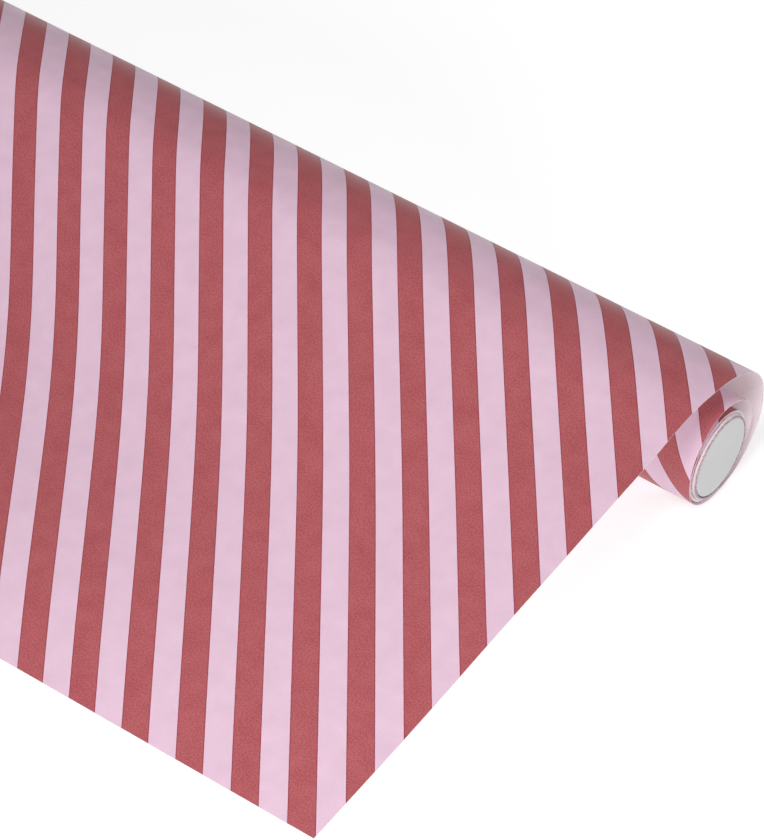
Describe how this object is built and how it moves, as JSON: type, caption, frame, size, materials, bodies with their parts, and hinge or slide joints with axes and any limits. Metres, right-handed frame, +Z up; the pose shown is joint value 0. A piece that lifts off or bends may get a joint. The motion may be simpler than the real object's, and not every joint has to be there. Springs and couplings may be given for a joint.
{
  "type": "wrapping paper roll",
  "caption": "Part-unrolled roll of striped gift wrapping paper on a board tube, with loose outer turns and end plugs.",
  "frame": {"origin": "on the table, under the middle of the whole object", "axes": "+X along the roll towards its visible end, +Y from the sheet's free edge towards the roll, +Z up"},
  "size_m": [0.702, 0.334, 0.0727],
  "materials": {
    "sheet_paper": "satin printed paper, dusty pink and brownish red diagonal stripes on the outside, plain greyish white back",
    "wound_paper": "tight turns of the same printed paper, pale pink layered edges",
    "core_board": "plain matt, pale pinkish grey tube board",
    "tape": "thin translucent double-sided tape",
    "plug_plastic": "pale neutral grey, matt moulded"
  },
  "bodies": {
    "sheet": {"unrolled_sheet": "sheet_paper", "loose_turns": "sheet_paper"},
    "roll": {"wound_paper": "wound_paper", "start_tape": "tape", "core_inner_ply": "core_board", "core_middle_ply": "core_board", "core_outer_ply": "core_board"},
    "right_plug": {"right_end_plug": "plug_plastic"},
    "left_plug": {"left_end_plug": "plug_plastic"}
  },
  "joints": [
    {"name": "roll_spin", "type": "hinge", "parent": "sheet", "child": "roll", "pos_m": [0, 0.1305, 0.0251], "axis": [1, 0, 0], "continuous": true},
    {"name": "right_plug_pull", "type": "slide", "parent": "roll", "child": "right_plug", "axis": [1, 0, 0], "range_m": [0, 0.03]},
    {"name": "left_plug_pull", "type": "slide", "parent": "roll", "child": "left_plug", "axis": [-1, 0, 0], "range_m": [0, 0.03]}
  ]
}
